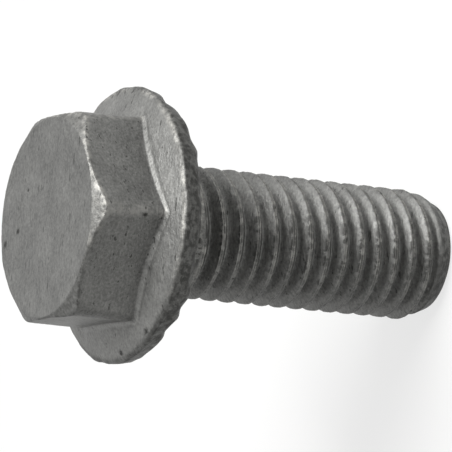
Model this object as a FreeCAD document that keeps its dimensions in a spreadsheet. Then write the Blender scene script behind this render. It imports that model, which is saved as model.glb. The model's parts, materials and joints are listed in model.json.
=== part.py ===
import FreeCAD, Part
import math
import os
import Sketcher

# A hexagon screw with its flange forged in one piece with the head, M10 x 25, threaded along its whole shank.
# The body's own frame has the centre of the bearing face at the origin and the thread's end towards +Z.
# Its flange and its thread are round, so the screw rolls when it lies. It stands on the flat end of its
# thread, turned over, with the centre of that end at the part's origin and the head on top.

os.makedirs("parts", exist_ok=True)
doc = FreeCAD.newDocument("flange_screw")

# Driving dimensions, in millimetres and degrees.
SIZES = {
    "thread_diameter": 10.0,
    "thread_pitch": 1.5,
    "thread_depth": 0.58,
    "thread_angle": 60.0,
    "first_groove": 3.5,
    "runout_turns": 0.75,
    "shank_length": 25.0,
    "neck_blend": 0.4,
    "end_diameter": 8.3,
    "end_taper": 1.8,
    "across_flats": 15.0,
    "head_height": 7.65,
    "face_diameter": 14.8,
    "crown_angle": 40.0,
    "foot_blend": 0.5,
    "flange_diameter": 20.8,
    "flange_angle": 22.7,
    "rim_height": 1.7,
    "rim_bevel": 0.4,
}

sizes = doc.addObject("Spreadsheet::Sheet", "sizes")
for row, (name, value) in enumerate(SIZES.items(), start=1):
    sizes.set(f"A{row}", name)
    sizes.set(f"B{row}", str(value))
    sizes.setAlias(f"B{row}", name)
doc.recompute()


def size(name):
    """An expression that reads one driving dimension."""
    return f"<<sizes>>.{name}"


THREAD_RADIUS = f"{size('thread_diameter')} / 2"
FLANGE_RADIUS = f"{size('flange_diameter')} / 2"
FACE_RADIUS = f"{size('face_diameter')} / 2"
END_RADIUS = f"{size('end_diameter')} / 2"
CORNER_RADIUS = f"{size('across_flats')} / 2 / cos(30 deg)"
TAPER_START = f"{size('shank_length')} - {size('end_taper')}"


def origin_feature(body, role):
    """One of the body's own origin planes or axes."""
    return next(feature for feature in body.Origin.OriginFeatures if feature.Role == role)


def new_sketch(body, name, plane):
    """A sketch that lies on one of the body's own origin planes."""
    sketch = body.newObject("Sketcher::SketchObject", name)
    sketch.AttachmentSupport = [(origin_feature(body, plane), "")]
    sketch.MapMode = "FlatFace"
    return sketch


def bind(sketch, constraint, name, expression):
    """Adds a named dimension to a sketch and ties it to the sheet."""
    sketch.renameConstraint(sketch.addConstraint(constraint), name)
    sketch.setExpression(f"Constraints.{name}", expression)


def worked_out(expression):
    """What an expression gives now, as a plain number."""
    value = doc.getObject("sizes").evalExpression(expression)
    return float(getattr(value, "Value", value))


def draw_profile(body, name, corners):
    """A closed profile of straight lines in the axial plane. Each corner is a name, a radius and a height."""
    sketch = new_sketch(body, name, "XZ_Plane")
    points = [FreeCAD.Vector(worked_out(radius), worked_out(height), 0) for _, radius, height in corners]
    count = len(corners)
    for place in range(count):
        sketch.addGeometry(Part.LineSegment(points[place], points[(place + 1) % count]), False)
    for place in range(count):
        sketch.addConstraint(Sketcher.Constraint("Coincident", place, 2, (place + 1) % count, 1))
    for place, (corner, radius, height) in enumerate(corners):
        for kind, expression, value, axis in (
            ("DistanceX", radius, points[place].x, -2),
            ("DistanceY", height, points[place].y, -1),
        ):
            if expression == "0":
                sketch.addConstraint(Sketcher.Constraint("PointOnObject", place, 1, axis))
            else:
                constraint = Sketcher.Constraint(kind, -1, 1, place, 1, value)
                bind(sketch, constraint, f"{corner}_{kind[-1].lower()}", expression)
    return sketch


def revolve(body, kind, name, corners):
    """A profile turned fully about the screw's axis, added or cut away."""
    sketch = draw_profile(body, f"{name}_profile", corners)
    feature = body.newObject(kind, name)
    feature.Profile = sketch
    feature.ReferenceAxis = (origin_feature(body, "Z_Axis"), [""])
    feature.Angle = 360
    doc.recompute()
    return feature


def add_hexagon(body):
    """The forged hexagon, from the bearing face to the head's face, with two flats square to the X axis."""
    sketch = new_sketch(body, "hexagon_outline", "XY_Plane")
    radius = worked_out(CORNER_RADIUS)
    angles = [math.radians(30 + 60 * side) for side in range(6)]
    corners = [FreeCAD.Vector(radius * math.cos(angle), radius * math.sin(angle), 0) for angle in angles]
    for side in range(6):
        sketch.addGeometry(Part.LineSegment(corners[side], corners[(side + 1) % 6]), False)
    inner = Part.Circle(FreeCAD.Vector(0, 0, 0), FreeCAD.Vector(0, 0, 1), SIZES["across_flats"] / 2)
    circle = sketch.addGeometry(inner, True)
    for side in range(6):
        sketch.addConstraint(Sketcher.Constraint("Coincident", side, 2, (side + 1) % 6, 1))
    sketch.addConstraint(Sketcher.Constraint("Coincident", circle, 3, -1, 1))
    for side in range(6):
        sketch.addConstraint(Sketcher.Constraint("Tangent", side, circle))
    for side in range(1, 5):
        sketch.addConstraint(Sketcher.Constraint("Equal", 0, side))
    sketch.addConstraint(Sketcher.Constraint("Vertical", 5))
    diameter = Sketcher.Constraint("Diameter", circle, SIZES["across_flats"])
    bind(sketch, diameter, "across_flats", size("across_flats"))
    pad = body.newObject("PartDesign::Pad", "hexagon")
    pad.Profile = sketch
    pad.Reversed = True
    pad.setExpression("Length", size("head_height"))
    doc.recompute()


def add_flange(body):
    """The flange as forged: a cone that leaves the hexagon's foot and runs out wider than the rim."""
    edge_radius = f"({FLANGE_RADIUS} - {size('rim_bevel')})"
    slope = f"tan({size('flange_angle')} * 1 deg)"
    forged_radius = f"(max({FLANGE_RADIUS}; {CORNER_RADIUS}) + 2 * {size('foot_blend')})"
    cone_top = f"-{size('rim_height')} - ({edge_radius} - {THREAD_RADIUS}) * {slope}"
    cone_foot = f"-{size('rim_height')} + ({forged_radius} - {edge_radius}) * {slope}"
    corners = [
        ("inside", "0", cone_top),
        ("cone_top", THREAD_RADIUS, cone_top),
        ("cone_foot", forged_radius, cone_foot),
        ("bearing_edge", forged_radius, "0"),
        ("bearing_centre", "0", "0"),
    ]
    revolve(body, "PartDesign::Revolution", "flange", corners)


def blend_foot(body):
    """The blend that the forging die leaves where the hexagon's flats run out into the cone of the flange."""
    base = body.Tip
    edges = []
    for place, edge in enumerate(base.Shape.Edges, start=1):
        faces = base.Shape.ancestorsOfType(edge, Part.Face)
        kinds = sorted(face.Surface.TypeId for face in faces)
        if kinds == ["Part::GeomCone", "Part::GeomPlane"] and edge.Curve.TypeId != "Part::GeomCircle":
            edges.append(f"Edge{place}")
    blend = body.newObject("PartDesign::Chamfer", "foot")
    blend.Base = (base, edges)
    blend.setExpression("Size", size("foot_blend"))
    doc.recompute()


def trim_rim(body):
    """Trims the flange to its diameter, with both edges of the rim broken."""
    edge_radius = f"{FLANGE_RADIUS} - {size('rim_bevel')}"
    outside = f"{FLANGE_RADIUS} + {CORNER_RADIUS}"
    corners = [
        ("cone_foot", edge_radius, f"-{size('rim_height')}"),
        ("rim_top", FLANGE_RADIUS, f"-{size('rim_height')} + {size('rim_bevel')}"),
        ("rim_foot", FLANGE_RADIUS, f"-{size('rim_bevel')}"),
        ("bearing_edge", edge_radius, "0"),
        ("outside_low", outside, "0"),
        ("outside_high", outside, f"-{size('rim_height')}"),
    ]
    revolve(body, "PartDesign::Groove", "rim", corners)


def add_shank(body):
    """The shank at the thread's outside diameter, with its end turned to a taper."""
    corners = [
        ("bearing_centre", "0", "0"),
        ("neck_foot", f"{THREAD_RADIUS} + {size('neck_blend')}", "0"),
        ("neck_top", THREAD_RADIUS, size("neck_blend")),
        ("taper_start", THREAD_RADIUS, TAPER_START),
        ("end_edge", END_RADIUS, size("shank_length")),
        ("end_centre", "0", size("shank_length")),
    ]
    revolve(body, "PartDesign::Revolution", "shank", corners)


def cut_crown(body):
    """The crown: a cone that takes the hexagon's corners off round the flat face of the head."""
    outside = f"{CORNER_RADIUS} + 1"
    drop = f"({outside} - {FACE_RADIUS}) * tan({size('crown_angle')} * 1 deg)"
    corners = [
        ("face_edge", FACE_RADIUS, f"-{size('head_height')}"),
        ("outside_low", outside, f"-{size('head_height')} + {drop}"),
        ("outside_high", outside, f"-{size('head_height')}"),
    ]
    return revolve(body, "PartDesign::Groove", "crown", corners)


def cut_helix(body, name, profile, height, angle, towards_head):
    """One helical cut of the thread's groove. With an angle, its radius grows as it goes."""
    helix = body.newObject("PartDesign::SubtractiveHelix", name)
    helix.Profile = profile
    helix.ReferenceAxis = (origin_feature(body, "Z_Axis"), [""])
    helix.Mode = "pitch-height-angle"
    helix.LeftHanded = False
    helix.Reversed = towards_head
    helix.Refine = False
    helix.setExpression("Pitch", size("thread_pitch"))
    helix.setExpression("Height", height)
    helix.setExpression("Angle", angle)
    doc.recompute()


def cut_thread(body):
    """The right-hand thread: a groove that runs off the shank's end, and one that climbs out at the neck.

    Zinc fills the roots of a galvanised thread and rounds its crests, so its groove is a shallow one.
    """
    clear = f"{size('thread_pitch')} / 10"
    cut_depth = f"({size('thread_depth')} + {clear})"
    half_width = f"{cut_depth} * tan({size('thread_angle')} / 2 * 1 deg)"
    outer = f"{THREAD_RADIUS} + {clear}"
    corners = [
        ("bottom", f"{THREAD_RADIUS} - {size('thread_depth')}", size("first_groove")),
        ("tip_side", outer, f"{size('first_groove')} + {half_width}"),
        ("head_side", outer, f"{size('first_groove')} - {half_width}"),
    ]
    groove = draw_profile(body, "groove_profile", corners)
    thread_run = f"{size('shank_length')} - {size('first_groove')} + {size('thread_pitch')} / 2"
    cut_helix(body, "thread", groove, thread_run, "0", False)
    runout_rise = f"({size('thread_pitch')} * {size('runout_turns')})"
    cut_helix(body, "runout", groove, runout_rise, f"atan({cut_depth} / {runout_rise})", True)


def stand_on_end(body):
    """Turns the screw over and stands it on the end of its thread."""
    body.setExpression("Placement.Rotation.Axis.x", "1")
    body.setExpression("Placement.Rotation.Axis.y", "0")
    body.setExpression("Placement.Rotation.Axis.z", "0")
    body.setExpression("Placement.Rotation.Angle", "180 deg")
    body.setExpression("Placement.Base.z", size("shank_length"))


screw = doc.addObject("PartDesign::Body", "flange_screw")
screw.Label = "flange_screw"
add_hexagon(screw)
add_flange(screw)
blend_foot(screw)
trim_rim(screw)
add_shank(screw)
cut_crown(screw)
cut_thread(screw)
stand_on_end(screw)
doc.recompute()

for item in doc.Objects:
    if any(word in item.State for word in ("Invalid", "Error")):
        raise RuntimeError(f"{item.Label} failed: {item.State}")
for piece in (screw,):
    if piece.Shape.isNull() or not piece.Shape.isValid():
        raise RuntimeError(f"{piece.Label} has no valid shape")
    piece.Shape.exportStep(f"parts/{piece.Label}.step")
    box = piece.Shape.BoundBox
    print(piece.Label, round(piece.Shape.Volume, 1), "mm3", len(piece.Shape.Faces), "faces")
    print([round(v, 3) for v in (box.XMin, box.XMax, box.YMin, box.YMax, box.ZMin, box.ZMax)])
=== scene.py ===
"""A hot-dip galvanised hexagon flange screw that stands on the end of its thread, in a pale studio.

The screw is forged, rolled and then dipped, so it is modelled in that order: a turned blank, the hexagon
pressed into it, the thread rolled on as a helix, and last the coat of zinc, with its runs and pits.
"""

import json
import math

import bmesh
import bpy
from bpy.props import FloatProperty, FloatVectorProperty, IntProperty, PointerProperty
from mathutils import Matrix, Vector, noise


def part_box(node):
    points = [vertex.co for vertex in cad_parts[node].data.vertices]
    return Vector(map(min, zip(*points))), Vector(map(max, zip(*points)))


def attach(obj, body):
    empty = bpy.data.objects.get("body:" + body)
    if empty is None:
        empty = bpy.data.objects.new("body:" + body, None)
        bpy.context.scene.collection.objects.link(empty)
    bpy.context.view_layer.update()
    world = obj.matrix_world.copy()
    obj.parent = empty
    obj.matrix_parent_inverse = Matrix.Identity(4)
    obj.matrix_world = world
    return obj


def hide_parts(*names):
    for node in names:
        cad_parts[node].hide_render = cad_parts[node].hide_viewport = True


bl_info = {
    "name": "Galvanised flange screw",
    "version": (1, 0, 0),
    "blender": (4, 5, 0),
    "location": "View3D > Sidebar > Screw",
    "description": "Models a hot-dip galvanised hexagon flange screw and its pale studio",
    "category": "Add Mesh",
}

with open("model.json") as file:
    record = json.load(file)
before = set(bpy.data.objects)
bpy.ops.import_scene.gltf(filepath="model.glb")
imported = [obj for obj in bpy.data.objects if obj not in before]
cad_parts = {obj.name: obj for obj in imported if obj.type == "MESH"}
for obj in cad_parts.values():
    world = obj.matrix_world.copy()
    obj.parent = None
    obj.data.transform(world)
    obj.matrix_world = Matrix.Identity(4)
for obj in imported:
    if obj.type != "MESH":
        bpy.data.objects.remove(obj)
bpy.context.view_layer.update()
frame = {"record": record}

MM = 0.001
# A distance that counts as none.
TOLERANCE = 0.001 * MM
NODE = "flange_screw"
MOUNTS = {mount["name"]: mount for mount in frame["record"]["mounts"]}
NODE_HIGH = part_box(NODE)[1]
SHANK_LENGTH = MOUNTS["bearing_face"]["pos_m"][2]
THREAD_RADIUS = MOUNTS["thread"]["dims"]["r_mm"] * MM
SIDES = 6
SECTOR = 2 * math.pi / SIDES
AXIS = Vector((0, 0, 1))
CENTRE = Vector((0, 0, 0))
# Points on the thread's cut at the neck that lie nearer to each other than this are merged.
NECK_MERGE = 0.03 * MM
# Nearer to the axis than this the head's face isn't evened out, because its wedges run together there.
POLE_RADIUS = 0.5 * MM

# Frozen runs of zinc on the rim's lower edge, and the dents between them: the turn round the axis and
# the width in degrees, and how far each stands out in millimetres.
RUNS = [
    (math.radians(turn), math.radians(width), height * MM)
    for turn, width, height in (
        (-61, 4, 0.14),
        (-30, 9, -0.36),
        (-126, 4, 0.24),
        (-137, 3, 0.16),
        (-146, 4, -0.2),
        (22, 6, 0.2),
        (97, 9, 0.24),
        (138, 11, -0.3),
    )
]
# Pits that show dark through the coat, with their place and radius in millimetres: three at the edge of
# the flange, one on an upright corner and three on the face.
PITS = [
    (Vector(place) * MM, radius * MM)
    for place, radius in (
        ((9.99, 0.77, 26.69), 0.35),
        ((-8.32, -5.28, 26.78), 0.32),
        ((-9.67, -1.6, 26.78), 0.3),
        ((-0.3, -8.5, 28.8), 0.22),
        ((-0.63, 4.59, 32.65), 0.3),
        ((-1.45, 6.6, 32.65), 0.3),
        ((2.35, 3.14, 32.65), 0.2),
    )
]
PIT_DEPTH = 0.06 * MM
# Up to this height the coat's relief fades in, so that the end stays flat.
END_FADE = 0.3 * MM

# The upper side of the screw in the picture, the side that the light falls on, as a level direction.
# Several marks change with it, as painted light and painted shade.
UPPER_LIT_SIDE = Vector((math.cos(math.radians(-8.2)), math.sin(math.radians(-8.2))))
# What the zinc is like at each point of the mesh, painted light and shade included, which the material
# reads.
MARKS = ("rubbed", "dross", "ash", "clean")
# How strong each mark is where it is full. PIT_DROSS is over 1, so that a pit is dark even where the
# dross is thin. THREAD_SIDE_LIGHT is how much lighter than THREAD_CLEAN the thread's upper side is
# painted, as painted light, and how much darker its lower one, as painted shade.
# The pale wear below is kept off the lower side, so it is also a painted highlight.
EDGE_WEAR = 0.8
CREST_WEAR = 0.7
RIDGE_WEAR = 0.35
CROWN_WEAR = 0.16
WORN_DROSS = 0.6
# Painted shade on the head's edges on the lower side.
LOWER_EDGE_SHADE = 0.8
CROWN_DROSS = 0.5
PIT_DROSS = 2
# Painted shade in the thread's roots on the lower side.
ROOT_SHADE = 0.5
THREAD_CLEAN = 0.3
THREAD_SIDE_LIGHT = 0.35
# What crests lose of their wear and painted highlight on the lower side, what the ash beside them
# loses at the upper and at the lower line, and what the lumps on edges lose under dross and painted
# shade.
LOWER_HIGHLIGHT_LOSS = 0.8
ASH_LOSS = 0.7
LUMP_LOSS = 0.7
# Where each mark starts and where it is full. The sides are told by the cosine of the turn from the
# upper or the lower line, and the thread's marks by their depth under its crest.
HEAD_LOWER_SIDE = (0.2, 0.5)
THREAD_LOWER_SIDE = (0.2, 0.6)
UPPER_OR_LOWER = (0.2, 0.7)
CREST_LINE = (0.03 * MM, 0.005 * MM)
CREST_BESIDE = (0.13 * MM, 0.06 * MM)
THREAD_ROOT = (0.6 * MM, 0.85 * MM)
# The cut end's mark, by its depth under the taper's outline and by its share of the taper's length.
CUT_DEPTH = (0.1 * MM, 0.02 * MM)
CUT_SHARE = (0.8, 0.5)
# The head's marks: how far they reach from an edge, under an upright corner, out on the crown, over the
# rim's upper edge and, as painted shade, in from the rim on its lower side.
EDGE_WIDTH = 0.35 * MM
RIDGE_DEPTH = (0.1 * MM, 0.02 * MM)
CROWN_REACH = (0, 0.1 * MM)
RIM_OVERLAP = 0.05 * MM
RIM_UNDERSIDE_SHADE = (1.2 * MM, 0.8 * MM)
# The band of painted highlight on the foot's blend, on the lower side: how far from the middle of its
# reach, as a share of the reach.
FOOT_HIGHLIGHT_BAND = (0.6, 0.2)
# The width of the streaks that the draining zinc left, as a share of their length.
STREAK_SHAPE = 0.22

# Each lamp's azimuth and elevation in degrees, and its width against the key's.
LAMPS = {"key": (61, 61, 1), "side": (95, 20, 2), "back": (-156, 39, 2)}
# From the middle of the screw to each lamp.
LAMP_DISTANCE = 0.4
# The point on the screw, near the flange, that the camera aims at.
CAMERA_TARGET = Vector((0.308, -3.137, 19.217)) * MM
# How far the floor lies under the thread's end, so that the two faces don't flicker.
FLOOR_GAP = 0.02 * MM
FLOOR_HALF_WIDTH = 1.5
# How much of what the camera sees of the floor is plain white. The rest is the lit board, which keeps
# the shadow.
FLOOR_WHITE = 0.75


def linear(code):
    """An sRGB hex colour as linear red, green and blue."""
    channels = [int(code[place : place + 2], 16) / 255 for place in (1, 3, 5)]
    return [c / 12.92 if c <= 0.04045 else ((c + 0.055) / 1.055) ** 2.4 for c in channels]


def length(name, description, millimetres):
    """A property that holds a length."""
    default = millimetres * MM
    return FloatProperty(name=name, description=description, default=default, unit="LENGTH", precision=5)


def angle(name, description, degrees):
    """A property that holds an angle."""
    default = math.radians(degrees)
    return FloatProperty(name=name, description=description, default=default, subtype="ANGLE")


def number(name, description, value):
    """A property that holds a plain number."""
    return FloatProperty(name=name, description=description, default=value)


def colour(name, description, code):
    """A property that holds a colour."""
    return FloatVectorProperty(name=name, description=description, default=linear(code), subtype="COLOR")


class ScrewSizes(bpy.types.PropertyGroup):
    """Sizes of the forged head and of the rolled thread."""

    columns: IntProperty(name="Columns", description="Faces round the screw", default=264)
    edge_hold: length("Edge hold", "How near to a sharp edge the next row of faces lies", 0.1)
    across_flats: length("Across flats", "Width of the hexagon", 15.0)
    corner_round: length("Corner round", "Radius of the hexagon's upright corners at their foot", 0.6)
    crown_round: length("Crown round", "Radius of the hexagon's upright corners at the crown", 1.8)
    face_radius: length("Face radius", "Radius of the flat round face on top of the head", 7.4)
    crown_angle: angle("Crown angle", "Slope of the crown that takes the corners off", 35.0)
    foot_height: length("Foot height", "How high the forged blend rises on the hexagon's flats", 0.05)
    foot_reach: length("Foot reach", "How far the forged blend reaches out on the flange", 0.34)
    foot_groove: length("Foot groove", "Depth of the faint groove round the forged blend", 0.05)
    flange_angle: angle("Flange angle", "Slope of the flange's upper side", 20.0)
    rim_height: length("Rim height", "Thickness of the flange near its rim", 1.7)
    upper_bevel: length("Upper bevel", "How far the rim's upper edge is broken", 0.2)
    lower_bevel: length("Lower bevel", "How far the rim's lower edge is broken", 0.4)
    rim_draft: length("Rim draft", "How far the rim draws in towards its lower edge", 0.2)
    neck_blend: length("Neck blend", "Size of the hollow blend under the flange", 0.4)
    thread_pitch: length("Thread pitch", "Rise of the thread in one turn", 1.5)
    thread_depth: length("Thread depth", "Depth from crest to root", 0.9)
    crest_width: length("Crest width", "Width of the rolled crest", 0.25)
    crest_seam: length("Crest seam", "Depth of the seam that rolling leaves along the crest", 0.07)
    root_width: length("Root width", "Width of the rounded root", 0.17)
    first_groove: length("First groove", "Distance from the bearing face to the first full groove", 3.5)
    runout_turns: number("Run-out turns", "Turns over which the groove climbs out at the neck", 0.75)
    end_radius: length("End radius", "Radius of the flat end that the screw stands on", 4.2)
    end_taper: length("End taper", "Length of the turned taper at the end", 1.8)


class ZincLook(bpy.types.PropertyGroup):
    """How the zinc coat lies and how it looks."""

    ripple: length("Ripple", "Height of the coat's ripples", 0.03)
    ripple_size: length("Ripple size", "Width of the coat's ripples", 1.1)
    grit: length("Grit", "Height of the coat's grit", 0.018)
    grit_size: length("Grit size", "Width of the coat's grit", 0.3)
    edge_grit: length("Edge grit", "Height of the lumps on worn edges and crests", 0.04)
    edge_grit_size: length("Edge grit size", "Width of the lumps on worn edges and crests", 0.35)
    rim_lumps: length("Rim lumps", "Height of the lumps round the rim", 0.12)
    rim_lump_size: length("Rim lump size", "Width of the lumps round the rim", 1.5)
    grey: colour("Zinc grey", "Aged zinc on open faces", "#666664")
    # Pale zinc is also the painted highlight on the upper side's edges, crown and crests.
    pale: colour("Pale zinc", "Zinc on rubbed edges", "#bdbbb5")
    # Dark zinc is also the painted shade on the lower side's edges, under the rim and in the lower
    # roots.
    dark: colour("Dark zinc", "Ash and dross in hollows and pits", "#2e2e2c")
    bump: length("Bump", "Depth of the finest grit, which only the light shows", 0.03)
    metallic: number("Metallic", "Share of the bare metal under the oxide", 0.75)
    roughness: number("Roughness", "Roughness of the oxide film", 0.52)


class StudioSettings(bpy.types.PropertyGroup):
    """The camera, the lamps and the floor."""

    azimuth: angle("Azimuth", "Side that the camera looks from", -8.2)
    elevation: angle("Elevation", "Camera's height above the horizon", 28.74)
    roll: angle("Roll", "Turn of the picture: the screw's axis lies nearly level in it", 83.92)
    distance: length("Distance", "Distance from the camera to the point that it aims at", 267.7)
    lens: FloatProperty(name="Lens", description="Focal length", default=286.5, unit="CAMERA")
    key_power: number("Key power", "Softbox over the head", 2.4)
    key_size: length("Key size", "Width of the softbox", 220)
    back_power: number("Back power", "Weak broad lamp behind the screw", 0.16)
    side_power: number("Side power", "Weak broad lamp level with the screw", 0.6)
    sky: number("Sky", "Even light from all round", 0.19)
    floor: colour("Floor", "Pale matt floor", "#e6e6e4")


class Screw:
    """The sizes in metres, with what follows from them. +Z runs from the thread's end to the head."""

    def __init__(self, sizes):
        for name in sizes.__annotations__:
            setattr(self, name, getattr(sizes, name))
        self.top = NODE_HIGH.z
        self.bearing = SHANK_LENGTH
        self.flat = self.across_flats / 2
        self.corner = self.flat / math.cos(SECTOR / 2)
        self.flange_radius = NODE_HIGH.x
        self.rim_edge = self.flange_radius - self.upper_bevel
        self.rim_top = self.cone_height(self.rim_edge)
        self.blend_edge = self.corner + self.foot_reach
        self.blank_foot = self.cone_height(self.corner) + self.foot_height
        self.blank_shoulder = self.crown_height(self.corner)
        self.neck_radius = THREAD_RADIUS + self.neck_blend
        self.neck_height = self.bearing - self.neck_blend

    def crown_height(self, radius):
        """Height of the crown's cone."""
        return self.top - (radius - self.face_radius) * math.tan(self.crown_angle)

    def cone_height(self, radius):
        """Height of the flange's upper side."""
        edge = self.flange_radius - self.lower_bevel
        return self.bearing + self.rim_height + (edge - radius) * math.tan(self.flange_angle)

    def envelope(self, height):
        """Outside radius of the thread, which tapers at its end."""
        below = max(0, (self.end_taper - height) / self.end_taper)
        return THREAD_RADIUS - (THREAD_RADIUS - self.end_radius) * below

    def hexagon_radius(self, turn, rise):
        """Distance from the axis to the hexagon, whose corners are blunter the higher up, 0 to 1."""
        rounding = self.corner_round + rise * (self.crown_round - self.corner_round)
        round_centre = (self.flat - rounding) / math.cos(SECTOR / 2)
        from_middle = abs((turn + SECTOR / 2) % SECTOR - SECTOR / 2)
        from_corner = SECTOR / 2 - from_middle
        if self.flat * math.tan(from_middle) < round_centre * math.sin(SECTOR / 2):
            return self.flat / math.cos(from_middle)
        half_chord = math.sqrt(max(rounding**2 - (round_centre * math.sin(from_corner)) ** 2, 0))
        return round_centre * math.cos(from_corner) + half_chord


def turned(point, turn, radius, height):
    """Puts a point at a turn round the axis, a distance from it and a height."""
    point.co = (radius * math.cos(turn), radius * math.sin(turn), height)


def add_outline(bm, corners):
    """Draws edges in the XZ plane. A corner is its radius, its height and how many rows lead to it."""
    radius, height, _ = corners[0]
    last = bm.verts.new((radius, 0, height))
    for radius, height, rows in corners[1:]:
        start, end = last.co.copy(), Vector((radius, 0, height))
        for row in range(1, rows + 1):
            vert = bm.verts.new(start.lerp(end, row / rows))
            bm.edges.new((last, vert))
            last = vert


def head_blank(bm, screw):
    """The turned blank of the head, with its foot left as a hollow corner, spun round the axis."""
    hold = screw.edge_hold
    shoulder, foot, blend_edge = screw.blank_shoulder, screw.blank_foot, screw.blend_edge
    lower_edge = screw.flange_radius - screw.rim_draft
    corners = [
        (0, screw.top, 0),
        (screw.face_radius - hold, screw.top, 34),
        (screw.face_radius, screw.top, 1),
        (screw.face_radius + hold, screw.crown_height(screw.face_radius + hold), 1),
        (screw.corner - hold, screw.crown_height(screw.corner - hold), 6),
        (screw.corner, shoulder, 1),
        (screw.corner, shoulder - hold, 1),
        (screw.corner, foot + hold, 26),
        (screw.corner, foot, 1),
        (blend_edge, screw.cone_height(blend_edge), 6),
        (blend_edge + hold, screw.cone_height(blend_edge + hold), 1),
        (screw.rim_edge - hold, screw.cone_height(screw.rim_edge - hold), 13),
        (screw.rim_edge, screw.rim_top, 1),
        (screw.flange_radius, screw.rim_top - screw.upper_bevel, 2),
        (lower_edge, screw.bearing + screw.lower_bevel, 6),
        (lower_edge - screw.lower_bevel, screw.bearing, 3),
        (lower_edge - screw.lower_bevel - hold, screw.bearing, 1),
        (screw.neck_radius, screw.bearing, 10),
    ]
    add_outline(bm, corners)
    bmesh.ops.spin(
        bm,
        geom=bm.verts[:] + bm.edges[:],
        cent=CENTRE,
        axis=AXIS,
        angle=2 * math.pi,
        steps=screw.columns,
        use_merge=True,
        use_normal_flip=False,
        use_duplicate=False,
    )
    bmesh.ops.remove_doubles(bm, verts=bm.verts[:], dist=TOLERANCE)


def crowded(turn, share):
    """A turn moved by a share towards the hexagon's nearest corner, where the surface bends most."""
    corner = (math.floor(turn / SECTOR) + 0.5) * SECTOR
    off = (turn - corner) / (SECTOR / 2)
    moved = (off + off**3) / 2
    return corner + SECTOR / 2 * (off + (moved - off) * share)


def press_hexagon(bm, screw):
    """Presses the round blank into the hexagon, with the crown above it and the blend at its foot."""
    shoulder, foot, blend_edge = screw.blank_shoulder, screw.blank_foot, screw.blend_edge
    for vert in bm.verts:
        radius, height = vert.co.xy.length, vert.co.z
        turn = math.atan2(vert.co.y, vert.co.x)
        if height < screw.rim_top - TOLERANCE or radius > screw.rim_edge - TOLERANCE:
            continue
        if height > screw.top - TOLERANCE:
            turned(vert, crowded(turn, radius / screw.face_radius), radius, height)
            continue
        beyond = max(0, (radius - blend_edge) / (screw.rim_edge - blend_edge))
        turn = crowded(turn, 1 - beyond)
        side, crown_side = screw.hexagon_radius(turn, 0), screw.hexagon_radius(turn, 1)
        if height > shoulder - TOLERANCE:
            share = (radius - screw.face_radius) / (screw.corner - screw.face_radius)
            radius = screw.face_radius + share * (crown_side - screw.face_radius)
            turned(vert, turn, radius, screw.crown_height(radius))
        elif height > foot - TOLERANCE:
            rise = (height - foot) / (shoulder - foot)
            low, high = screw.cone_height(side) + screw.foot_height, screw.crown_height(crown_side)
            turned(vert, turn, screw.hexagon_radius(turn, rise), low + rise * (high - low))
        elif radius < blend_edge + TOLERANCE:
            reach = side + screw.foot_reach
            upper = Vector((side, screw.cone_height(side) + screw.foot_height))
            lower = Vector((reach, screw.cone_height(reach) - screw.foot_groove))
            blend = upper.lerp(lower, (radius - screw.corner) / screw.foot_reach)
            turned(vert, turn, blend.x, blend.y)
        else:
            start = side + screw.foot_reach
            radius = start + beyond * (screw.rim_edge - start)
            turned(vert, turn, radius, screw.cone_height(radius))


def thread_turn(bm, screw):
    """One turn of the thread, from crest to crest, as a band that rises one pitch."""
    pitch = screw.thread_pitch
    crest, root = screw.crest_width / 2, screw.root_width / 2
    crest_radius, root_radius = THREAD_RADIUS, THREAD_RADIUS - screw.thread_depth
    seam, ease = screw.crest_seam, screw.crest_seam / 2
    # The seam's lips stand just inside the crest's edges, and the flanks start just outside them.
    lip, flank = 0.8 * crest, 1.2 * crest
    corners = [
        (crest_radius - seam, 0, 0),
        (crest_radius, lip, 1),
        (crest_radius - ease, flank, 1),
        (root_radius + ease, pitch / 2 - root, 3),
        (root_radius, pitch / 2, 1),
        (root_radius + ease, pitch / 2 + root, 1),
        (crest_radius - ease, pitch - flank, 3),
        (crest_radius, pitch - lip, 1),
        (crest_radius - seam, pitch, 1),
    ]
    add_outline(bm, corners)
    bmesh.ops.spin(
        bm,
        geom=bm.verts[:] + bm.edges[:],
        cent=CENTRE,
        axis=AXIS,
        dvec=AXIS * pitch / screw.columns,
        angle=2 * math.pi,
        steps=screw.columns,
        use_merge=False,
        use_normal_flip=False,
        use_duplicate=False,
    )


def roll_thread(bm, screw):
    """The thread along the whole shank: turns stacked on each other, cut level at both ends."""
    thread_turn(bm, screw)
    first_crest = screw.bearing - screw.first_groove - screw.thread_pitch / 2
    turns_above = math.ceil((screw.bearing - first_crest) / screw.thread_pitch)
    turns_below = math.ceil(first_crest / screw.thread_pitch) + 1
    band = bm.verts[:] + bm.edges[:] + bm.faces[:]
    for count in range(-turns_below, turns_above):
        if count:
            copy = bmesh.ops.duplicate(bm, geom=band)["geom"]
            verts = [item for item in copy if isinstance(item, bmesh.types.BMVert)]
            bmesh.ops.translate(bm, verts=verts, vec=AXIS * screw.thread_pitch * count)
    bmesh.ops.translate(bm, verts=bm.verts[:], vec=AXIS * first_crest)
    bmesh.ops.remove_doubles(bm, verts=bm.verts[:], dist=2 * TOLERANCE)
    run_out_groove(bm, screw)
    turn_end(bm, screw)
    for height, keep in ((screw.neck_height, -1), (0, 1)):
        bmesh.ops.bisect_plane(
            bm,
            geom=bm.verts[:] + bm.edges[:] + bm.faces[:],
            dist=TOLERANCE / 10,
            plane_co=AXIS * height,
            plane_no=AXIS * keep,
            clear_inner=True,
        )
    rim = [edge for edge in bm.edges if edge.is_boundary and edge.verts[0].co.z < screw.end_taper / 2]
    bmesh.ops.holes_fill(bm, edges=rim, sides=0)


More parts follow.
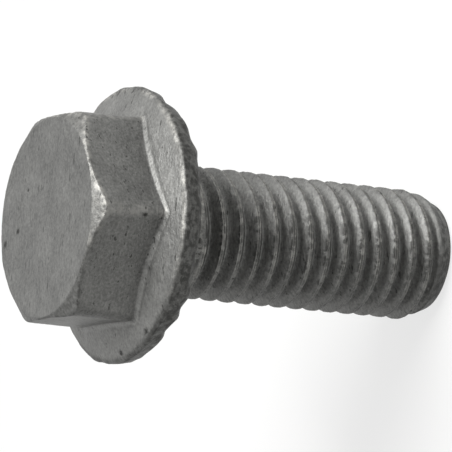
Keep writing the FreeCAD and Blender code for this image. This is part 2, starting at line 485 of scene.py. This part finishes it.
def groove_place(screw, point):
    """Turns of the thread from the first full groove to the groove that a point lies in."""
    down = (screw.bearing - screw.first_groove - point.z) / screw.thread_pitch
    part = (-math.atan2(point.y, point.x) / (2 * math.pi)) % 1
    return round(down - part) + part


def run_out_groove(bm, screw):
    """Lets the groove climb out to the plain neck over the last part of a turn."""
    for vert in bm.verts:
        share = 1 + groove_place(screw, vert.co) / screw.runout_turns
        share = min(max(share, 0), 1)
        radius = vert.co.xy.length
        wanted = THREAD_RADIUS - (THREAD_RADIUS - radius) * share
        vert.co.xy *= wanted / radius


def turn_end(bm, screw):
    """Turns the taper at the thread's end: nothing stands out past it."""
    for vert in bm.verts:
        limit, radius = screw.envelope(vert.co.z), vert.co.xy.length
        if radius > limit:
            vert.co.xy *= limit / radius


def join_at_neck(bm, screw):
    """Bridges the thread's upper edge to the inner edge of the bearing face."""
    cut = [vert for vert in bm.verts if abs(vert.co.z - screw.neck_height) < NECK_MERGE]
    bmesh.ops.remove_doubles(bm, verts=cut, dist=NECK_MERGE)
    bmesh.ops.bridge_loops(bm, edges=[edge for edge in bm.edges if edge.is_boundary])


def soften(bm, screw):
    """Evens out the head's edges as a coat of zinc does."""
    head = [vert for vert in bm.verts if vert.co.z > screw.neck_height]
    verts = [vert for vert in head if vert.co.xy.length > POLE_RADIUS]
    bmesh.ops.smooth_vert(bm, verts=verts, factor=0.5, use_axis_x=True, use_axis_y=True, use_axis_z=True)


def between(value, low, high):
    """How far a value is from low to high, as 0 to 1."""
    return min(max((value - low) / (high - low), 0), 1)


def thread_marks(screw, radius, height, upper):
    """Worn crests with painted highlight, ash, painted shade in the lower roots, and dross on the cut
    end.
    """
    depth = THREAD_RADIUS - radius
    line = between(depth, *CREST_LINE)
    beside = between(depth, *CREST_BESIDE) - line
    lower = between(-upper, *THREAD_LOWER_SIDE)
    # The crests' pale is wear, and also a painted highlight that is kept off the lower side.
    rubbed = CREST_WEAR * line * (1 - LOWER_HIGHLIGHT_LOSS * lower)
    cut_end = between(screw.envelope(height) - radius, *CUT_DEPTH)
    cut_end *= between(height / screw.end_taper, *CUT_SHARE)
    ash = beside * (1 - ASH_LOSS * between(abs(upper), *UPPER_OR_LOWER))
    # Painted shade: the roots on the lower side are darkened where the crests cast their shadow.
    ash = max(ash, ROOT_SHADE * lower * between(depth, *THREAD_ROOT))
    # The upper side is painted lighter and the lower one darker: painted light and painted shade.
    return rubbed, cut_end, ash, THREAD_CLEAN + THREAD_SIDE_LIGHT * upper


def edge_mark(screw, radius, height, side, shoulder):
    """How near a point of the head lies to an edge that rubs: the rim's, the crown's or a corner's."""
    if radius >= side + EDGE_WIDTH / 2:
        return between(math.hypot(radius - screw.rim_edge, height - screw.rim_top), EDGE_WIDTH, 0)
    edge = 0
    if height > shoulder - EDGE_WIDTH and radius > screw.face_radius:
        edge = between(abs(height - shoulder), EDGE_WIDTH, 0)
    if height < shoulder:
        rise = between(height, screw.cone_height(side) + screw.foot_height, shoulder)
        ridge = screw.hexagon_radius(SECTOR / 2, rise)
        edge = max(edge, RIDGE_WEAR * between(ridge - radius, *RIDGE_DEPTH))
    return edge


def head_marks(screw, point, radius, height, upper):
    """Edges worn and painted pale on the upper side, painted shade on the lower, dark rim, clean flange.
    """
    turn = math.atan2(point.y, point.x)
    side = screw.hexagon_radius(turn, 0)
    shoulder = screw.crown_height(screw.hexagon_radius(turn, 1))
    lower = between(-upper, *HEAD_LOWER_SIDE)
    edge = edge_mark(screw, radius, height, side, shoulder)
    crown = between(radius - screw.face_radius, *CROWN_REACH) if height > shoulder else 0
    rim = between(radius + RIM_OVERLAP, screw.rim_edge, screw.flange_radius)
    # Below its upper edge, the rim, its lower bevel and the bearing face's outer edge are dark: dross,
    # and painted shade under the flange.
    if height < screw.rim_top - 2 * screw.upper_bevel:
        rim = between(screw.flange_radius - radius, *RIM_UNDERSIDE_SHADE)
    clean = 0
    if height > screw.rim_top:
        reach = (radius - side) / screw.foot_reach
        # On the lower side, a band in the middle of the foot's blend is painted lighter, as a painted
        # highlight.
        clean = between(reach, 0, 1) + lower * between(abs(reach - 0.5), *FOOT_HIGHLIGHT_BAND)
    # Edges are pale on the upper side only, as wear and painted highlight, and dark on the lower side,
    # as painted shade.
    rubbed = max(EDGE_WEAR * edge, CROWN_WEAR * crown) * (1 - lower)
    return rubbed, max(rim, LOWER_EDGE_SHADE * edge * lower, CROWN_DROSS * crown), 0, clean


def marks(screw, point):
    """How rubbed, how dark with dross or ash and how clean the zinc is, painted light and shade
    included.
    """
    radius, height = point.xy.length, point.z
    upper = UPPER_LIT_SIDE.dot(point.xy) / radius if radius else 0
    if height < screw.bearing - TOLERANCE and radius < screw.neck_radius:
        return thread_marks(screw, radius, height, upper)
    return head_marks(screw, point, radius, height, upper)


def pit_share(point):
    """How deep in a pit a point lies: 0 outside it and 1 in its middle."""
    return max(between((point - middle).length, radius, radius / 3) for middle, radius in PITS)


def run_height(point):
    """How far the runs stand out on the side of the rim that a point is on."""
    turn = math.atan2(point.y, point.x)
    return sum(height * math.exp(-(((turn - middle) / width) ** 2)) for middle, width, height in RUNS)


def lump(point, size):
    """Smooth noise from -1 to 1 with lumps of a size."""
    return noise.noise(point / size)


def coat(bm, screw, look):
    """Lays the zinc on: ripples and grit everywhere, lumps on the edges, runs round the rim and pits."""
    bm.normal_update()
    layers = [bm.verts.layers.float.new(name) for name in MARKS]
    moves = []
    for vert in bm.verts:
        place = vert.co
        rubbed, dross, ash, clean = marks(screw, place)
        pit = pit_share(place)
        values = (rubbed, max(dross, WORN_DROSS * rubbed, PIT_DROSS * pit), ash, clean)
        for layer, value in zip(layers, values):
            vert[layer] = value
        lift = look.ripple * lump(place, look.ripple_size) + look.grit * lump(place, look.grit_size)
        edge_lump = look.edge_grit * lump(place, look.edge_grit_size)
        lift += max(rubbed, ash) * (1 - LUMP_LOSS * dross) * edge_lump
        if place.z > screw.bearing:
            rim_lump = look.rim_lumps * lump(place, look.rim_lump_size)
            low = between(place.z, screw.rim_top, screw.bearing)
            lift += dross * (rim_lump + low * run_height(place)) - PIT_DEPTH * pit
        moves.append(vert.normal * lift * between(place.z, 0, END_FADE))
    for vert, move in zip(bm.verts, moves):
        vert.co += move


def make_screw(sizes, look):
    """The whole screw as one closed mesh."""
    screw = Screw(sizes)
    bm = bmesh.new()
    head_blank(bm, screw)
    press_hexagon(bm, screw)
    thread = bmesh.new()
    roll_thread(thread, screw)
    mesh = bpy.data.meshes.new("galvanised_screw")
    thread.to_mesh(mesh)
    thread.free()
    bm.from_mesh(mesh)
    join_at_neck(bm, screw)
    bmesh.ops.recalc_face_normals(bm, faces=bm.faces[:])
    soften(bm, screw)
    coat(bm, screw, look)
    open_edges = sum(not edge.is_manifold for edge in bm.edges)
    if open_edges:
        raise RuntimeError(f"the screw's mesh has {open_edges} open edges")
    for face in bm.faces:
        face.smooth = True
    bm.to_mesh(mesh)
    bm.free()
    return mesh


def add_node(tree, kind, inputs, **settings):
    """Adds a shader node and gives its outputs. An input is set to a value, or linked to a socket."""
    node = tree.nodes.new(kind)
    for name, value in settings.items():
        setattr(node, name, value)
    for name, value in inputs.items():
        if isinstance(value, bpy.types.NodeSocket):
            tree.links.new(value, node.inputs[name])
        else:
            node.inputs[name].default_value = value
    return node.outputs


def new_material(name):
    """An empty material, its node tree and its output's surface socket."""
    material = bpy.data.materials.new(name)
    material.use_nodes = True
    tree = material.node_tree
    tree.nodes.clear()
    return material, tree, tree.nodes.new("ShaderNodeOutputMaterial").inputs["Surface"]


def galvanised_zinc(look):
    """Aged hot-dip galvanised steel, dull oxide: pale in wear and painted highlight, dark in dross,
    pits, painted shade.
    """
    material, tree, surface = new_material("hot_dip_galvanised_zinc")
    space = add_node(tree, "ShaderNodeTexCoord", {})["Object"]
    centre = (0, 0, -NODE_HIGH.z / 2)
    place = add_node(tree, "ShaderNodeMapping", {"Vector": space, "Location": centre})[0]
    # The zinc drained along X, so its streaks and its small pits are stretched that way.
    along = add_node(tree, "ShaderNodeMapping", {"Vector": place, "Scale": (STREAK_SHAPE, 1, 1)})[0]
    # Each pattern has its width in mm, its detail, the noise that it starts from and ends at, and what
    # it gives there. Cloud, grain, streak, pit and grit lie all over the film. Speck and patch break up
    # the rubbed places with their painted highlight, and dross and ash, with their painted shade, the
    # marks of the same names. The real film's grain is finer than a picture shows, so grain and grit are
    # as coarse as they need to be.
    pattern = {}
    for name, where, width, detail, low, high, weakest, strongest in (
        ("cloud", place, 2.2, 4, 0.3, 0.7, -1, 1),
        ("grain", place, 0.2, 2, 0.25, 0.75, -1, 1),
        ("streak", along, 0.16, 2, 0.25, 0.75, -1, 1),
        ("speck", place, 0.42, 4, 0.38, 0.58, 0.1, 0.75),
        ("patch", place, 2.2, 2, 0.36, 0.52, 0.2, 1),
        ("dross", place, 0.5, 4, 0.64, 0.38, 0.3, 0.92),
        ("ash", place, 0.42, 4, 0.55, 0.45, 0.05, 1),
        ("pit", along, 0.32, 2, 0.64, 0.7, 0, 0.8),
        ("grit", place, 0.24, 3, 0, 1, 0, 1),
    ):
        noise_inputs = {"Vector": where, "Scale": 1 / (width * MM), "Detail": detail, "Roughness": 0.6}
        raw = add_node(tree, "ShaderNodeTexNoise", noise_inputs)[0]
        span = {"Value": raw, "From Min": low, "From Max": high, "To Min": weakest, "To Max": strongest}
        pattern[name] = add_node(tree, "ShaderNodeMapRange", span, interpolation_type="SMOOTHSTEP")[0]
    mark = {}
    for name in MARKS:
        mark[name] = add_node(tree, "ShaderNodeAttribute", {}, attribute_name=name)["Fac"]
    # The film's tone is 1 and each of these parts by its weight. The clean mark also paints the thread's
    # upper side lighter, as painted light.
    tone = 1.0
    for part, weight in (
        (pattern["cloud"], 0.14),
        (pattern["grain"], 0.2),
        (pattern["streak"], 0.17),
        (mark["clean"], 0.25),
    ):
        sum_inputs = {0: part, 1: weight, 2: tone}
        tone = add_node(tree, "ShaderNodeMath", sum_inputs, operation="MULTIPLY_ADD")[0]
    zinc = add_node(tree, "ShaderNodeVectorMath", {0: look.grey, 1: tone}, operation="MULTIPLY")[0]
    # Pale is laid on wear and painted highlight, and dark on dross, ash, pits and painted shade.
    for paint, factors in (
        (look.pale, (mark["rubbed"], pattern["speck"], pattern["patch"])),
        (look.dark, (mark["dross"], pattern["dross"])),
        (look.dark, (mark["ash"], pattern["ash"])),
        (look.dark, (pattern["pit"],)),
    ):
        share = 1.0
        for factor in factors:
            share = add_node(tree, "ShaderNodeMath", {0: share, 1: factor}, operation="MULTIPLY")[0]
        zinc = add_node(tree, "ShaderNodeMix", {0: share, 6: zinc, 7: (*paint, 1)}, data_type="RGBA")[2]
    # The clouds vary the roughness a little, and faint streaks lie in the relief beside the grit.
    rough_inputs = {0: pattern["cloud"], 1: 0.05, 2: look.roughness}
    relief_inputs = {0: pattern["streak"], 1: 0.17, 2: pattern["grit"]}
    relief = add_node(tree, "ShaderNodeMath", relief_inputs, operation="MULTIPLY_ADD")[0]
    bump_inputs = {"Height": relief, "Strength": 0.8, "Distance": look.bump}
    shader_inputs = {
        "Base Color": zinc,
        "Metallic": look.metallic,
        "Roughness": add_node(tree, "ShaderNodeMath", rough_inputs, operation="MULTIPLY_ADD")[0],
        "Normal": add_node(tree, "ShaderNodeBump", bump_inputs)[0],
    }
    tree.links.new(add_node(tree, "ShaderNodeBsdfPrincipled", shader_inputs)[0], surface)
    return material


def seen_directly(tree):
    """1 for what the camera sees, straight, mirrored or through glass, and 0 for light on the object."""
    path = add_node(tree, "ShaderNodeLightPath", {})
    seen = path["Is Camera Ray"]
    for ray in ("Is Glossy Ray", "Is Transmission Ray"):
        seen = add_node(tree, "ShaderNodeMath", {0: seen, 1: path[ray]}, operation="MAXIMUM")[0]
    return seen


def pale_floor(studio):
    """Matt painted board: it shows the screw's shadow, and near white where nothing shades it."""
    material, tree, surface = new_material("matt_painted_board")
    matt = add_node(tree, "ShaderNodeBsdfDiffuse", {"Color": (*studio.floor, 1)})[0]
    white = add_node(tree, "ShaderNodeEmission", {"Strength": 1})[0]
    share_inputs = {0: seen_directly(tree), 1: FLOOR_WHITE}
    share = add_node(tree, "ShaderNodeMath", share_inputs, operation="MULTIPLY")[0]
    tree.links.new(add_node(tree, "ShaderNodeMixShader", {0: share, 1: matt, 2: white})[0], surface)
    return material


def light_world(studio):
    """An even sky that is white where the camera sees it."""
    world = bpy.data.worlds.new("studio_sky")
    world.use_nodes = True
    tree = world.node_tree
    tree.nodes.clear()
    span = {"Value": seen_directly(tree), "To Min": studio.sky, "To Max": 1}
    strength = add_node(tree, "ShaderNodeMapRange", span)[0]
    background = add_node(tree, "ShaderNodeBackground", {"Color": (1, 1, 1, 1), "Strength": strength})[0]
    tree.links.new(background, tree.nodes.new("ShaderNodeOutputWorld").inputs["Surface"])
    bpy.context.scene.world = world


def put_in_scene(name, data):
    """A new object in the scene, at the origin."""
    thing = bpy.data.objects.new(name, data)
    bpy.context.scene.collection.objects.link(thing)
    return thing


def aim(thing, place, target, roll=0.0):
    """Puts a lamp or a camera somewhere, looks at a target and rolls it about its line of sight."""
    turn = (target - place).to_track_quat("-Z", "Y").to_matrix().to_4x4()
    thing.matrix_world = Matrix.Translation(place) @ turn @ Matrix.Rotation(roll, 4, "Z")


def towards(azimuth, elevation):
    """The direction from the screw to an azimuth, which is 0 at the front, and an elevation."""
    flat = math.cos(elevation)
    return Vector((math.sin(azimuth) * flat, -math.cos(azimuth) * flat, math.sin(elevation)))


def add_lamp(name, studio):
    """A soft square lamp that faces the middle of the screw."""
    azimuth, elevation, width = LAMPS[name]
    lamp = bpy.data.lights.new(name, "AREA")
    lamp.shape = "SQUARE"
    lamp.size = width * studio.key_size
    lamp.energy = getattr(studio, name + "_power")
    middle = AXIS * NODE_HIGH.z / 2
    place = middle + towards(math.radians(azimuth), math.radians(elevation)) * LAMP_DISTANCE
    aim(put_in_scene(name, lamp), place, middle)


def add_camera(studio):
    """The camera at the photograph's viewing angle."""
    camera = bpy.data.cameras.new("camera")
    camera.lens = studio.lens
    thing = put_in_scene("camera", camera)
    place = CAMERA_TARGET + towards(studio.azimuth, studio.elevation) * studio.distance
    aim(thing, place, CAMERA_TARGET, -studio.roll)
    bpy.context.scene.camera = thing


def add_floor(studio):
    """A wide board under the thread's end."""
    bm = bmesh.new()
    down = Matrix.Translation(-FLOOR_GAP * AXIS)
    bmesh.ops.create_grid(bm, x_segments=1, y_segments=1, size=FLOOR_HALF_WIDTH, matrix=down)
    mesh = bpy.data.meshes.new("floor")
    bm.to_mesh(mesh)
    bm.free()
    mesh.materials.append(pale_floor(studio))
    return put_in_scene("floor", mesh)


class MESH_OT_add_galvanised_screw(bpy.types.Operator):
    """Model the galvanised screw in place of its CAD solid"""

    bl_idname = "mesh.add_galvanised_screw"
    bl_label = "Galvanised screw"

    def execute(self, context):
        mesh = make_screw(context.scene.screw_sizes, context.scene.zinc_look)
        mesh.materials.append(galvanised_zinc(context.scene.zinc_look))
        piece = put_in_scene("galvanised_screw", mesh)
        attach(piece, "root")
        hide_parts(NODE)
        return {"FINISHED"}


class SCENE_OT_add_screw_studio(bpy.types.Operator):
    """Set up the floor, the lamps and the camera"""

    bl_idname = "scene.add_screw_studio"
    bl_label = "Studio"

    def execute(self, context):
        studio = context.scene.screw_studio
        floor = add_floor(studio)
        for name in LAMPS:
            add_lamp(name, studio)
        light_world(studio)
        add_camera(studio)
        context.scene.view_settings.view_transform = "Standard"
        return {"FINISHED"}


class VIEW3D_PT_flange_screw(bpy.types.Panel):
    """Lists the pieces and their sizes"""

    bl_label = "Flange screw"
    bl_space_type = "VIEW_3D"
    bl_region_type = "UI"
    bl_category = "Screw"

    def draw(self, context):
        layout = self.layout
        layout.operator(MESH_OT_add_galvanised_screw.bl_idname)
        layout.operator(SCENE_OT_add_screw_studio.bl_idname)
        for group in (context.scene.screw_sizes, context.scene.zinc_look, context.scene.screw_studio):
            for name in group.__annotations__:
                layout.prop(group, name)


CLASSES = (
    ScrewSizes,
    ZincLook,
    StudioSettings,
    MESH_OT_add_galvanised_screw,
    SCENE_OT_add_screw_studio,
    VIEW3D_PT_flange_screw,
)


def register():
    """Registers the classes and hangs the settings on the scene."""
    for item in CLASSES:
        bpy.utils.register_class(item)
    bpy.types.Scene.screw_sizes = PointerProperty(type=ScrewSizes)
    bpy.types.Scene.zinc_look = PointerProperty(type=ZincLook)
    bpy.types.Scene.screw_studio = PointerProperty(type=StudioSettings)


def unregister():
    """Takes the settings and the classes away again."""
    del bpy.types.Scene.screw_studio
    del bpy.types.Scene.zinc_look
    del bpy.types.Scene.screw_sizes
    for item in reversed(CLASSES):
        bpy.utils.unregister_class(item)


def main():
    """Makes the screw and its studio."""
    register()
    bpy.ops.mesh.add_galvanised_screw()
    bpy.ops.scene.add_screw_studio()


if __name__ == "__main__":
    main()
